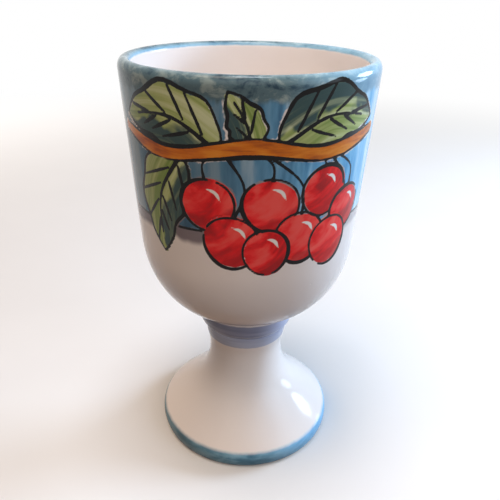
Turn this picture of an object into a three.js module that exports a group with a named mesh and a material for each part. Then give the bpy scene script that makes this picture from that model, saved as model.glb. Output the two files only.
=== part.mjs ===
// Glazed ceramic chalice: a thrown bowl on a collar ring and a hollow trumpet pedestal,
// three fired clay pieces that are bedded on each other in slip.
// Millimetres, +Z up, with the origin at the centre of the ring that the chalice stands on.
import * as THREE from "three";

// Pedestal: a rounded foot edge, a flare up to the waist, and a stem that opens again towards the collar.
const FOOT_RADIUS = 36.0;
const FOOT_EDGE_WIDEST_HEIGHT = 3.7;
const FOOT_EDGE_HEIGHT = 6.9;
const FOOT_EDGE_ROUNDING = 1.4;
const FOOT_EDGE_SWEEP = THREE.MathUtils.degToRad(67);
const STANDING_RING_WIDTH = 4.0;
const FLARE_REACH = 14.3;
const WAIST_RADIUS = 14.8;
const WAIST_HEIGHT = 37.2;
const WAIST_REACH = 15.8;
const PEDESTAL_HEIGHT = 48.2;
const STEM_TOP_REACH = 4.5;
const PEDESTAL_WALL = 5.0;
const CROWN_THICKNESS = 5.0;
const VENT_RADIUS = 3.5;

// Collar ring: a steep band with a rounded upper edge, drawn in below to the stem.
const COLLAR_HEIGHT = 8.9;
const COLLAR_TOP_RADIUS = 20.4;
const COLLAR_BREAK_RADIUS = 18.2;
const COLLAR_BREAK_HEIGHT = 1.6;
const COLLAR_BOTTOM_RADIUS = 16.9;
const COLLAR_EDGE_ROUNDING = 1.0;
const COLLAR_BORE_RADIUS = 7.0;

// Bowl: a wall with a slight draft that runs on into a full belly, and a lip that rounds over more slowly outside.
const BOWL_HEIGHT = 91.9;
const RIM_RADIUS = 42.3;
const LIP_OUTER_DROP = 3.0;
const SHOULDER_RADIUS = 39.2;
const SHOULDER_HEIGHT = 30.5;
const BELLY_SEAT_SLOPE = THREE.MathUtils.degToRad(25);
const BELLY_SEAT_REACH = 13.4;
const BELLY_SHOULDER_REACH = 13.5;
const BOWL_WALL = 4.2;
const FLOOR_THICKNESS = 4.4;
const INNER_SHOULDER_REACH = 17.0;
const INNER_FLOOR_REACH = 23.0;

// Joints: slip beds between the flat seats, and short spigots that centre the pieces in the collar's bore.
const SLIP_THICKNESS = 0.5;
const SLIP_RECESS = 0.3;
const STEM_SETBACK = 0.5;
const SPIGOT_CLEARANCE = 0.3;
const SPIGOT_SPACING = 2.9;

// Tessellation.
const TURN_SEGMENTS = 64;
const CURVE_STEPS = 12;
const EDGE_STEPS = 5;

// Levels of the seats, from the table up.
const lowerSlipTop = PEDESTAL_HEIGHT + SLIP_THICKNESS;
const collarTop = lowerSlipTop + COLLAR_HEIGHT;
const bowlSeat = collarTop + SLIP_THICKNESS;
const rimTop = bowlSeat + BOWL_HEIGHT;

// Sizes that one piece takes from its neighbour.
const stemTopRadius = COLLAR_BOTTOM_RADIUS - STEM_SETBACK;
const collarFlatRadius = COLLAR_TOP_RADIUS - COLLAR_EDGE_ROUNDING;
const spigotRadius = COLLAR_BORE_RADIUS - SPIGOT_CLEARANCE;
const spigotLength = (COLLAR_HEIGHT - SPIGOT_SPACING) / 2;

const whiteGlaze = { color: 0xefe8e0, roughness: 0.18, metalness: 0 };
const lavenderGlaze = { color: 0x8f8ba6, roughness: 0.2, metalness: 0 };
const firedSlip = { color: 0xd9cbb9, roughness: 0.8, metalness: 0 };

const at = (radius, height) => new THREE.Vector2(radius, height);

// An elliptical stretch of a half section, from one angle to another about its centre.
function ellipseStretch(centre, radius, height, fromAngle, toAngle, steps) {
  const clockwise = toAngle < fromAngle;
  const curve = new THREE.EllipseCurve(centre.x, centre.y, radius, height, fromAngle, toAngle, clockwise);
  return curve.getPoints(steps);
}

// The points of a curve set off by a wall's thickness to the left of its travel, from its end back to its start.
function wallInside(curve, thickness, steps) {
  const points = [];
  for (let step = steps; step >= 0; step -= 1) {
    const tangent = curve.getTangent(step / steps);
    const inward = at(-tangent.y, tangent.x);
    points.push(curve.getPoint(step / steps).addScaledVector(inward, thickness));
  }
  return points;
}

// Turns a half section about the upright axis. A ring's section is closed on itself.
function turned(name, section, finish, isRing) {
  const points = section.flat();
  if (isRing) {
    points.push(points[0].clone());
  }
  const geometry = new THREE.LatheGeometry(points, TURN_SEGMENTS);
  geometry.rotateX(Math.PI / 2);
  const mesh = new THREE.Mesh(geometry, new THREE.MeshStandardMaterial(finish));
  mesh.name = name;
  return mesh;
}

function pedestal() {
  const edgeCentre = at(FOOT_RADIUS - FOOT_EDGE_ROUNDING, FOOT_EDGE_WIDEST_HEIGHT);
  const edgeRise = FOOT_EDGE_HEIGHT - FOOT_EDGE_WIDEST_HEIGHT;
  const underEdge = ellipseStretch(
    edgeCentre, FOOT_EDGE_ROUNDING, FOOT_EDGE_WIDEST_HEIGHT, -Math.PI / 2, 0, EDGE_STEPS);
  const overEdge = ellipseStretch(edgeCentre, FOOT_EDGE_ROUNDING, edgeRise, 0, FOOT_EDGE_SWEEP, EDGE_STEPS);

  const flareStart = overEdge.at(-1);
  const slope = at(-FOOT_EDGE_ROUNDING * Math.sin(FOOT_EDGE_SWEEP), edgeRise * Math.cos(FOOT_EDGE_SWEEP));
  const flare = new THREE.CubicBezierCurve(
    flareStart,
    flareStart.clone().addScaledVector(slope.normalize(), FLARE_REACH),
    at(WAIST_RADIUS, WAIST_HEIGHT - WAIST_REACH),
    at(WAIST_RADIUS, WAIST_HEIGHT));
  const stem = new THREE.CubicBezierCurve(
    at(WAIST_RADIUS, WAIST_HEIGHT),
    at(WAIST_RADIUS, WAIST_HEIGHT + STEM_TOP_REACH),
    at(stemTopRadius, PEDESTAL_HEIGHT - STEM_TOP_REACH),
    at(stemTopRadius, PEDESTAL_HEIGHT));

  const neckTop = lowerSlipTop + spigotLength;
  const crownUnderside = PEDESTAL_HEIGHT - CROWN_THICKNESS;
  const section = [
    at(edgeCentre.x - STANDING_RING_WIDTH, 0),
    underEdge,
    overEdge.slice(1),
    flare.getPoints(CURVE_STEPS).slice(1),
    stem.getPoints(EDGE_STEPS).slice(1),
    at(spigotRadius, PEDESTAL_HEIGHT),
    at(spigotRadius, neckTop),
    at(VENT_RADIUS, neckTop),
    at(VENT_RADIUS, crownUnderside),
    at(WAIST_RADIUS - PEDESTAL_WALL, crownUnderside),
    wallInside(flare, PEDESTAL_WALL, CURVE_STEPS),
  ];
  return turned("pedestal", section, whiteGlaze, true);
}

function collarRing() {
  const edgeCentre = at(collarFlatRadius, collarTop - COLLAR_EDGE_ROUNDING);
  const section = [
    at(COLLAR_BORE_RADIUS, lowerSlipTop),
    at(COLLAR_BOTTOM_RADIUS, lowerSlipTop),
    at(COLLAR_BREAK_RADIUS, lowerSlipTop + COLLAR_BREAK_HEIGHT),
    ellipseStretch(edgeCentre, COLLAR_EDGE_ROUNDING, COLLAR_EDGE_ROUNDING, 0, Math.PI / 2, EDGE_STEPS),
    at(COLLAR_BORE_RADIUS, collarTop),
  ];
  return turned("collar_ring", section, lavenderGlaze, true);
}

function slipBed(name, outerRadius, underside) {
  const section = [
    at(COLLAR_BORE_RADIUS, underside),
    at(outerRadius, underside),
    at(outerRadius, underside + SLIP_THICKNESS),
    at(COLLAR_BORE_RADIUS, underside + SLIP_THICKNESS),
  ];
  return turned(name, section, firedSlip, true);
}

function bowl() {
  const shoulder = bowlSeat + SHOULDER_HEIGHT;
  const floor = bowlSeat + FLOOR_THICKNESS;
  const lipRadius = BOWL_WALL / 2;
  const crest = RIM_RADIUS - lipRadius;
  const wallTop = at(RIM_RADIUS, rimTop - LIP_OUTER_DROP);
  const outerShoulder = at(SHOULDER_RADIUS, shoulder);
  const innerShoulder = at(SHOULDER_RADIUS - BOWL_WALL, shoulder);
  const downTheWall = outerShoulder.clone().sub(wallTop).normalize();

  // Both sides of the belly leave the shoulder along the wall, so that no crease shows there.
  const seatEdge = at(COLLAR_TOP_RADIUS, bowlSeat);
  const upFromSeat = at(Math.cos(BELLY_SEAT_SLOPE), Math.sin(BELLY_SEAT_SLOPE));
  const belly = new THREE.CubicBezierCurve(
    seatEdge,
    seatEdge.clone().addScaledVector(upFromSeat, BELLY_SEAT_REACH),
    outerShoulder.clone().addScaledVector(downTheWall, BELLY_SHOULDER_REACH),
    outerShoulder);
  const outerLip = ellipseStretch(at(crest, wallTop.y), lipRadius, LIP_OUTER_DROP, 0, Math.PI / 2, EDGE_STEPS);
  const innerLip = ellipseStretch(
    at(crest, rimTop - lipRadius), lipRadius, lipRadius, Math.PI / 2, Math.PI, EDGE_STEPS);
  const inside = new THREE.CubicBezierCurve(
    innerShoulder,
    innerShoulder.clone().addScaledVector(downTheWall, INNER_SHOULDER_REACH),
    at(INNER_FLOOR_REACH, floor),
    at(0, floor));

  const section = [
    at(0, bowlSeat - SLIP_THICKNESS - spigotLength),
    at(spigotRadius, bowlSeat - SLIP_THICKNESS - spigotLength),
    at(spigotRadius, bowlSeat),
    belly.getPoints(CURVE_STEPS),
    outerLip,
    innerLip.slice(1),
    inside.getPoints(CURVE_STEPS),
  ];
  return turned("bowl", section, whiteGlaze, false);
}

const chalice = new THREE.Group();
chalice.add(pedestal());
chalice.add(slipBed("stem_slip_bed", stemTopRadius - SLIP_RECESS, PEDESTAL_HEIGHT));
chalice.add(collarRing());
chalice.add(slipBed("bowl_slip_bed", collarFlatRadius - SLIP_RECESS, collarTop));
chalice.add(bowl());

export default chalice;
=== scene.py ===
# %% [markdown]
# # A glazed chalice with a brushed garland
# The real chalice is three pieces of thrown clay: a deep bowl, a collar ring and a hollow pedestal. They
# are stuck together with slip, painted with brushes, and glazed all over but for the ring that it stands
# on. This lesson turns smooth skins for the three pieces, paints them by their own places, and lights them
# plainly.

import math

import bpy
import numpy as np
from mathutils import Matrix, Vector


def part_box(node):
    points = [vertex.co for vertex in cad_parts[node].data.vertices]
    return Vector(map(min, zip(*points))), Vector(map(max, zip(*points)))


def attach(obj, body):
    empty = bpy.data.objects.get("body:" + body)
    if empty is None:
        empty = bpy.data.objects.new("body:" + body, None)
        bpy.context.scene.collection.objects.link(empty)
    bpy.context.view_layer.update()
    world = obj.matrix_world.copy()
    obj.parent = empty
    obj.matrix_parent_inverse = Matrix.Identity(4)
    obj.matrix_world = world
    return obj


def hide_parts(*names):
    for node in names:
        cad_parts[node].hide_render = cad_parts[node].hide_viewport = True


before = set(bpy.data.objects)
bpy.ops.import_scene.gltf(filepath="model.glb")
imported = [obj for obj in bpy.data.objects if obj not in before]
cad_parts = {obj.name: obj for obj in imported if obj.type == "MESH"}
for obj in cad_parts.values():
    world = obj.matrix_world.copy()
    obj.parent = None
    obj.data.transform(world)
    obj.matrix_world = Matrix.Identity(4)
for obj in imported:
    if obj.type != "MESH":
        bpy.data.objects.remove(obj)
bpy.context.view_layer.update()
print("CAD nodes:", ", ".join(sorted(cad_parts)))

# %% [markdown]
# ## Sizes
# Every level and radius comes from the CAD solids where their boxes show it, and the inner sizes repeat the
# CAD's own values. Half sections are thought out in millimetres, as on a potter's template, and the meshes
# are built in metres.

# %% Sizes from the CAD nodes
MM = 0.001
BORE_RADIUS = 7.0
SPIGOT_RADIUS = 6.7

rim_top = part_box("bowl")[1].z / MM
rim_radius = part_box("bowl")[1].x / MM
spigot_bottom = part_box("bowl")[0].z / MM
collar_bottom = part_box("collar_ring")[0].z / MM
collar_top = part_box("collar_ring")[1].z / MM
collar_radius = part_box("collar_ring")[1].x / MM
bowl_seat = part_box("bowl_slip_bed")[1].z / MM
pedestal_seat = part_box("stem_slip_bed")[0].z / MM
neck_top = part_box("pedestal")[1].z / MM
foot_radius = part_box("pedestal")[1].x / MM
print(f"rim radius {rim_radius:.1f} mm at {rim_top:.1f} mm, foot radius {foot_radius:.1f} mm")

# %% [markdown]
# ## Half sections
# A turned piece is known by its half section, the line that a template would follow from the axis outwards.
# Straight stretches need only their ends. The curves could be drawn by eye, but cubic Beziers and
# elliptical arcs, the same ones that the CAD uses, keep the pieces true to it. They get more steps here, so
# that no facets show in the gloss.

# %% Curves of a half section
def bezier(start, reach_out, reach_in, end, steps):
    """Points of a cubic Bezier, both ends included."""
    share = np.linspace(0.0, 1.0, steps + 1)[:, None]
    rest = 1.0 - share
    corners = [np.asarray(corner, dtype=float) for corner in (start, reach_out, reach_in, end)]
    weights = (rest ** 3, 3 * share * rest ** 2, 3 * share ** 2 * rest, share ** 3)
    return sum(weight * corner for weight, corner in zip(weights, corners))


def arc(centre, width, height, start_degrees, end_degrees, steps):
    """Points of an elliptical arc, both ends included."""
    angles = np.radians(np.linspace(start_degrees, end_degrees, steps + 1))
    return np.column_stack([centre[0] + width * np.cos(angles), centre[1] + height * np.sin(angles)])


def along_and_aside(line):
    """Unit vectors along a line and to its left, at each of its points."""
    along = np.gradient(line, axis=0)
    along /= np.linalg.norm(along, axis=1)[:, None]
    return along, np.column_stack([-along[:, 1], along[:, 0]])


def inside_of(curve, thickness):
    """A curve set off to its left by a wall's thickness, and run backwards."""
    aside = along_and_aside(curve)[1]
    return (curve + thickness * aside)[::-1]


# %% [markdown]
# ## Turning on the wheel
# Each piece was thrown on a wheel. A cylinder could be pushed into shape ring by ring, but a section that
# is spun once keeps every ring round and level. It starts as a ring of vertices, which are moved to the
# section's points. A section that meets the axis loses the edge that lies along it, and the spin operator
# then sweeps it round. The bowl is swept in two arcs: a fine one across the front, where the brushwork
# sits, and a coarser one behind.

# %% Stand up a half section
FRONT_ARC = 170.0
ON_AXIS = 0.001


def from_axis(point):
    """A point's distance from the upright axis."""
    return math.hypot(point.x, point.y)


def pick_edges(piece, wanted):
    """Goes to edit mode with only the edges selected whose two ends, in millimetres, pass the test."""
    bpy.ops.object.mode_set(mode="EDIT")
    bpy.ops.mesh.select_mode(type="EDGE")
    bpy.ops.mesh.select_all(action="DESELECT")
    bpy.ops.object.mode_set(mode="OBJECT")
    points = piece.data.vertices
    for edge in piece.data.edges:
        start, end = edge.vertices
        edge.select = wanted(points[start].co / MM, points[end].co / MM)
    bpy.ops.object.mode_set(mode="EDIT")


def half_section(name, stretches, closed):
    """Stands a half section up at the side where the front arc starts."""
    section = np.vstack(stretches)
    bpy.ops.object.select_all(action="DESELECT")
    bpy.ops.mesh.primitive_circle_add(vertices=len(section), fill_type="NOTHING")
    piece = bpy.context.object
    piece.name = name
    start = math.radians(FRONT_ARC / 2 - 90.0)
    for vertex, (radius, height) in zip(piece.data.vertices, section * MM):
        vertex.co = (radius * math.cos(start), radius * math.sin(start), height)
    if not closed:
        pick_edges(piece, lambda a, b: max(from_axis(a), from_axis(b)) < ON_AXIS)
        bpy.ops.mesh.delete(type="EDGE")
        bpy.ops.object.mode_set(mode="OBJECT")
    return piece


# %% Turn, soften and finish a piece
MERGE_DISTANCE = 1e-6
RING_TOLERANCE = 0.02
SMOOTH_ANGLE = math.radians(40)


def turn(piece, sweeps):
    """Spins the whole section through each sweep in turn, then closes the seam and the poles."""
    bpy.ops.object.mode_set(mode="EDIT")
    bpy.ops.mesh.select_all(action="SELECT")
    for degrees, steps in sweeps:
        bpy.ops.mesh.spin(steps=steps, angle=math.radians(degrees), center=(0, 0, 0), axis=(0, 0, 1))
    bpy.ops.mesh.select_all(action="SELECT")
    bpy.ops.mesh.remove_doubles(threshold=MERGE_DISTANCE)
    bpy.ops.mesh.normals_make_consistent(inside=False)
    bpy.ops.object.mode_set(mode="OBJECT")


def soften_ring(piece, height, radius, width, segments=3):
    """Bevels one sharp ring, as the glaze rounds it."""
    def is_on_ring(point):
        return max(abs(point.z - height), abs(from_axis(point) - radius)) < RING_TOLERANCE

    pick_edges(piece, lambda a, b: is_on_ring(a) and is_on_ring(b))
    bpy.ops.mesh.bevel(offset=width * MM, segments=segments, profile=0.5, affect="EDGES")
    bpy.ops.object.mode_set(mode="OBJECT")


def finish_piece(piece, node):
    """Shades the piece smoothly, hangs it on the one body and hides its CAD node."""
    bpy.ops.object.select_all(action="DESELECT")
    piece.select_set(True)
    bpy.context.view_layer.objects.active = piece
    bpy.ops.object.shade_smooth_by_angle(angle=SMOOTH_ANGLE)
    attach(piece, "root")
    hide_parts(node)
    print(f"{piece.name}: {len(piece.data.polygons)} faces")


# %% [markdown]
# ## The bowl
# The wall leans out a little from a soft shoulder, the belly tucks in to the seat, and the lip rounds over,
# more slowly on the outside. The outer wall is one long edge of the section. A few rings would give its
# shape, but it is cut up finely before the spin, because the cuts carry the brushwork later: each vertex
# remembers how far it lies from the nearest brush mark.

# %% Half section of the bowl
BOWL_WALL = 4.2
FLOOR_THICKNESS = 4.4
LIP_OUTER_DROP = 3.0
SHOULDER = (39.2, 88.6)
BELLY_SLOPE = math.radians(25)
BELLY_SEAT_REACH = 13.4
BELLY_SHOULDER_REACH = 13.5
INNER_SHOULDER_REACH = 17.0
INNER_FLOOR_REACH = 23.0
BELLY_STEPS = 20
INSIDE_STEPS = 22
EDGE_STEPS = 8

lip_radius = BOWL_WALL / 2
crest = rim_radius - lip_radius
wall_top = np.array([rim_radius, rim_top - LIP_OUTER_DROP])
shoulder = np.array(SHOULDER)
inner_shoulder = shoulder - [BOWL_WALL, 0.0]
down_the_wall = (shoulder - wall_top) / np.linalg.norm(shoulder - wall_top)
seat_edge = np.array([collar_radius, bowl_seat])
up_from_seat = np.array([math.cos(BELLY_SLOPE), math.sin(BELLY_SLOPE)])
bowl_floor = bowl_seat + FLOOR_THICKNESS

belly = bezier(
    seat_edge,
    seat_edge + BELLY_SEAT_REACH * up_from_seat,
    shoulder + BELLY_SHOULDER_REACH * down_the_wall,
    shoulder,
    BELLY_STEPS)
outer_lip = arc((crest, wall_top[1]), lip_radius, LIP_OUTER_DROP, 0, 90, EDGE_STEPS)
inner_lip = arc((crest, rim_top - lip_radius), lip_radius, lip_radius, 90, 180, EDGE_STEPS)
bowl_inside = bezier(
    inner_shoulder,
    inner_shoulder + INNER_SHOULDER_REACH * down_the_wall,
    (INNER_FLOOR_REACH, bowl_floor),
    (0.0, bowl_floor),
    INSIDE_STEPS)
spigot = [(0.0, spigot_bottom), (SPIGOT_RADIUS, spigot_bottom), (SPIGOT_RADIUS, bowl_seat)]
bowl_section = [spigot, belly, outer_lip, inner_lip[1:], bowl_inside]
print(f"the bowl is {rim_top - bowl_floor:.1f} mm deep inside")

# %% Turn the bowl
FRONT_STEPS = 330
BACK_STEPS = 72
PAINTED_ROWS = 165
INNER_ROWS = 10
WALL_TOLERANCE = 0.1


def cut_wall(piece, low, high, rows):
    """Cuts the long straight edge between two points of the section into even rows."""
    levels = {round(float(low[1]), 2), round(float(high[1]), 2)}
    wall_radius = float(low[0] + high[0]) / 2

    def is_wall(a, b):
        middle = (from_axis(a) + from_axis(b)) / 2
        return {round(a.z, 2), round(b.z, 2)} == levels and abs(middle - wall_radius) < WALL_TOLERANCE

    pick_edges(piece, is_wall)
    bpy.ops.mesh.subdivide(number_cuts=rows - 1)
    bpy.ops.object.mode_set(mode="OBJECT")


bowl = half_section("glazed_bowl", bowl_section, closed=False)
cut_wall(bowl, shoulder, wall_top, PAINTED_ROWS)
cut_wall(bowl, inner_shoulder, inner_lip[-1], INNER_ROWS)
turn(bowl, [(FRONT_ARC, FRONT_STEPS), (360.0 - FRONT_ARC, BACK_STEPS)])
finish_piece(bowl, "bowl")

# %% [markdown]
# ## The collar ring and the pedestal
# The collar is a steep band with a break below and a rounded upper edge. The pedestal is a trumpet: a
# rounded foot edge, a flare, a waist and a stem that opens again, hollow from below. Both are rings, so
# their sections close on themselves. Sharp corners would catch a hard line of light, and glaze rounds every
# edge, so the break and the seat edges are softened with a bevel.

# %% Turn the collar ring
RING_STEPS = 144
COLLAR_FOOT_RADIUS = 16.9
COLLAR_ROUNDING = 1.0
BREAK_RADIUS = 18.2
BREAK_RISE = 1.6
BREAK_BEVEL = 0.7
BREAK_SEGMENTS = 5
SEAT_BEVEL = 0.35

break_height = collar_bottom + BREAK_RISE
rounding_centre = (collar_radius - COLLAR_ROUNDING, collar_top - COLLAR_ROUNDING)
collar_section = [
    [(BORE_RADIUS, collar_bottom), (COLLAR_FOOT_RADIUS, collar_bottom), (BREAK_RADIUS, break_height)],
    arc(rounding_centre, COLLAR_ROUNDING, COLLAR_ROUNDING, 0, 90, EDGE_STEPS),
    [(BORE_RADIUS, collar_top)],
]
collar = half_section("glazed_collar_ring", collar_section, closed=True)
turn(collar, [(360.0, RING_STEPS)])
soften_ring(collar, break_height, BREAK_RADIUS, BREAK_BEVEL, BREAK_SEGMENTS)
soften_ring(collar, collar_bottom, COLLAR_FOOT_RADIUS, SEAT_BEVEL)
finish_piece(collar, "collar_ring")

# %% Half section of the pedestal
FOOT_ROUNDING = 1.4
WIDEST_HEIGHT = 3.7
EDGE_HEIGHT = 6.9
EDGE_SWEEP = 67.0
STANDING_WIDTH = 4.0
WAIST_RADIUS = 14.8
WAIST_HEIGHT = 37.2
FLARE_REACH = 14.3
WAIST_REACH = 15.8
STEM_REACH = 4.5
STEM_SETBACK = 0.5
PEDESTAL_WALL = 5.0
CROWN_THICKNESS = 5.0
VENT_RADIUS = 3.5
OVER_EDGE_STEPS = 10
FLARE_STEPS = 40
STEM_STEPS = 12

stem_radius = COLLAR_FOOT_RADIUS - STEM_SETBACK
crown_underside = pedestal_seat - CROWN_THICKNESS
edge_centre = (foot_radius - FOOT_ROUNDING, WIDEST_HEIGHT)
edge_rise = EDGE_HEIGHT - WIDEST_HEIGHT
under_edge = arc(edge_centre, FOOT_ROUNDING, WIDEST_HEIGHT, -90, 0, EDGE_STEPS)
over_edge = arc(edge_centre, FOOT_ROUNDING, edge_rise, 0, EDGE_SWEEP, OVER_EDGE_STEPS)
sweep = math.radians(EDGE_SWEEP)
slope = np.array([-FOOT_ROUNDING * math.sin(sweep), edge_rise * math.cos(sweep)])

flare = bezier(
    over_edge[-1],
    over_edge[-1] + FLARE_REACH * slope / np.linalg.norm(slope),
    (WAIST_RADIUS, WAIST_HEIGHT - WAIST_REACH),
    (WAIST_RADIUS, WAIST_HEIGHT),
    FLARE_STEPS)
stem = bezier(
    (WAIST_RADIUS, WAIST_HEIGHT),
    (WAIST_RADIUS, WAIST_HEIGHT + STEM_REACH),
    (stem_radius, pedestal_seat - STEM_REACH),
    (stem_radius, pedestal_seat),
    STEM_STEPS)
crown = [
    (SPIGOT_RADIUS, pedestal_seat),
    (SPIGOT_RADIUS, neck_top),
    (VENT_RADIUS, neck_top),
    (VENT_RADIUS, crown_underside),
    (WAIST_RADIUS - PEDESTAL_WALL, crown_underside),
]
hollow_side = inside_of(flare, PEDESTAL_WALL)
standing_ring = [(edge_centre[0] - STANDING_WIDTH, 0.0)]
pedestal_section = [standing_ring, under_edge, over_edge[1:], flare[1:], stem[1:], crown, hollow_side]
print(f"the waist is {2 * WAIST_RADIUS:.1f} mm across, the stem {2 * stem_radius:.1f} mm")

# %% Turn the pedestal
pedestal = half_section("glazed_pedestal", pedestal_section, closed=True)
turn(pedestal, [(360.0, RING_STEPS)])
soften_ring(pedestal, pedestal_seat, stem_radius, SEAT_BEVEL)
finish_piece(pedestal, "pedestal")

# %% [markdown]
# ## Soft clay
# A wheel-thrown wall is never quite true. Broad, shallow swells of about a tenth of a millimetre bend the
# reflections without changing the outline. Bump in the material could do that too, but the mesh itself
# would not carry it. The swells fade out near the seats and the standing ring, which stay flat.

# %% Swell the walls
SWELL = 0.11
SWELL_FROM = 10.0
FLAT_BELOW = 1.0
FADE_IN = 6.0


def swell(piece, phase):
    """Pushes each vertex along its radius by a slow, shallow wave."""
    for vertex in piece.data.vertices:
        x, y, z = vertex.co / MM
        radius = math.hypot(x, y)
        if radius < SWELL_FROM:
            continue
        angle = math.atan2(x, -y)
        oval = 0.55 * math.sin(2 * angle + phase + z / 31.0)
        lobes = 0.3 * math.sin(3 * angle - z / 17.0)
        throwing_rings = 0.25 * math.sin(z / 6.5 + angle + phase)
        clear_of_seats = min(max(0.0, z - FLAT_BELOW), abs(z - bowl_seat), abs(z - pedestal_seat))
        depth = SWELL * min(1.0, clear_of_seats / FADE_IN)
        push = 1.0 + depth * (oval + lobes + throwing_rings) / radius
        vertex.co.x *= push
        vertex.co.y *= push


swell(bowl, 0.4)
swell(pedestal, 2.1)
print("bowl now", [round(side, 4) for side in bowl.dimensions])

# %% [markdown]
# ## A place for every brush mark
# The garland is laid out flat, as a painter would sketch it: along the wall in millimetres from the middle
# of the front, and up in millimetres from the table. A picture on a UV map could hold it, but it would blur
# close up. So the script measures the signed distance from each vertex of the front wall to each mark,
# below zero inside it, and the shader later cuts a crisp, slightly ragged edge there.

# %% Unroll the front wall
PAINT_RADIUS = 41.0
CANVAS_MARGIN = 1.0
FLOOR_CLEARANCE = 0.1

count = len(bowl.data.vertices)
places = np.empty(count * 3)
bowl.data.vertices.foreach_get("co", places)
places = places.reshape(count, 3) / MM
heights = places[:, 2]
radii = np.hypot(places[:, 0], places[:, 1])
turns = np.arctan2(places[:, 0], -places[:, 1])
inner_line = np.vstack([inner_lip[-1:], bowl_inside])[::-1]
wall_middle = np.interp(heights, inner_line[:, 1], inner_line[:, 0]) + BOWL_WALL / 2
is_outside = (radii > np.maximum(wall_middle, collar_radius)) | (heights < bowl_floor - FLOOR_CLEARANCE)
from_lip = np.where(is_outside, rim_top - heights, heights - rim_top)

is_front = np.abs(np.degrees(turns)) < FRONT_ARC / 2 + CANVAS_MARGIN
is_canvas = is_outside & is_front & (heights > shoulder[1] - CANVAS_MARGIN)
canvas = np.column_stack([PAINT_RADIUS * turns, heights])[is_canvas]
print(f"{len(canvas)} points carry the garland")

# %% Brush tools
FAR = 30.0
STROKE_MARGIN = 3.0


def through(points, steps=10):
    """A smooth line through given points."""
    points = np.asarray(points, dtype=float)
    padded = np.vstack([2 * points[0] - points[1], points, 2 * points[-1] - points[-2]])
    share = np.linspace(0.0, 1.0, steps, endpoint=False)[:, None]
    line = []
    for before, start, end, after in zip(padded, padded[1:], padded[2:], padded[3:]):
        bend = 2 * before - 5 * start + 4 * end - after
        twist = 3 * start - before - 3 * end + after
        line.append(start + 0.5 * ((end - before) * share + bend * share ** 2 + twist * share ** 3))
    return np.vstack(line + [points[-1:]])


def half_widths(line, widths):
    """Half of a stroke's width at each point of its line, from a few widths spread evenly along it."""
    return np.interp(np.linspace(0, 1, len(line)), np.linspace(0, 1, len(widths)), widths) / 2


def stroke(line, widths):
    """How far each canvas point lies outside a brush stroke that swells and thins along its line."""
    low = line.min(axis=0) - STROKE_MARGIN
    high = line.max(axis=0) + STROKE_MARGIN
    is_near = np.all((canvas > low) & (canvas < high), axis=1)
    points = canvas[is_near]
    nearest = np.full(len(points), FAR)
    halves = half_widths(line, widths)
    for start, end, half_start, half_end in zip(line[:-1], line[1:], halves[:-1], halves[1:]):
        along = end - start
        share = np.clip((points - start) @ along / (along @ along), 0.0, 1.0)
        away = np.linalg.norm(points - start - share[:, None] * along, axis=1)
        nearest = np.minimum(nearest, away - half_start - share * (half_end - half_start))
    gap = np.full(len(canvas), FAR)
    gap[is_near] = nearest
    return gap


# %% [markdown]
# ## The garland
# A twig runs across the upper wall, with plain pointed leaves on it and cherries that hang below in
# bunches. Each shape has a fill and its own ink: a thick and thin outline, veins or a stalk. A fill lies a
# little off its outline, because a hand never follows a line exactly. Veins end at the fill's edge, and
# those on the hollow side of a bent leaf lean out more, so that they stay inside it.

# %% Draw a leaf
THINNEST = 0.75
FILL_SLIP = 0.6
LEAF_STEPS = 24
LEAF_POINT = 0.78
LEAF_FULLNESS = 0.8
WAVE_DEPTH = 0.07
WAVE_PITCH = 22.0
VEIN_STEPS = 6
VEIN_LEAD = 10
VEIN_TIP = 0.6
HOLLOW_SIDE_LEAN, HOLLOW_SIDE_LAG = 0.7, 0.0
FULL_SIDE_LEAN, FULL_SIDE_LAG = 1.25, 0.06


def leaf_veins(midrib, spread, half_width, heavy, veins):
    """The ink of the side veins, which start a little later on the full side of the bend."""
    along, aside = along_and_aside(midrib)
    turns_left = along[0, 0] * along[-1, 1] - along[0, 1] * along[-1, 0] > 0
    drawn = []
    for start, reach in veins:
        for flip in (1.0, -1.0):
            is_hollow_side = (flip > 0) == turns_left
            lean = HOLLOW_SIDE_LEAN if is_hollow_side else FULL_SIDE_LEAN
            lag = HOLLOW_SIDE_LAG if is_hollow_side else FULL_SIDE_LAG
            at = int((start + lag) * (len(midrib) - 1))
            forward = along[at] * half_width * lean
            outward = aside[at] * flip * spread[at + VEIN_LEAD]
            bends = ((0.12, 0.12), (0.48, 0.5 * reach), (1.0, reach))
            path = [midrib[at] + ahead * forward + out * outward for ahead, out in bends]
            widths = [THINNEST, 0.75 * heavy, 0.7 * heavy, VEIN_TIP]
            drawn.append(stroke(through(path, VEIN_STEPS), widths))
    return np.minimum.reduce(drawn)


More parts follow.
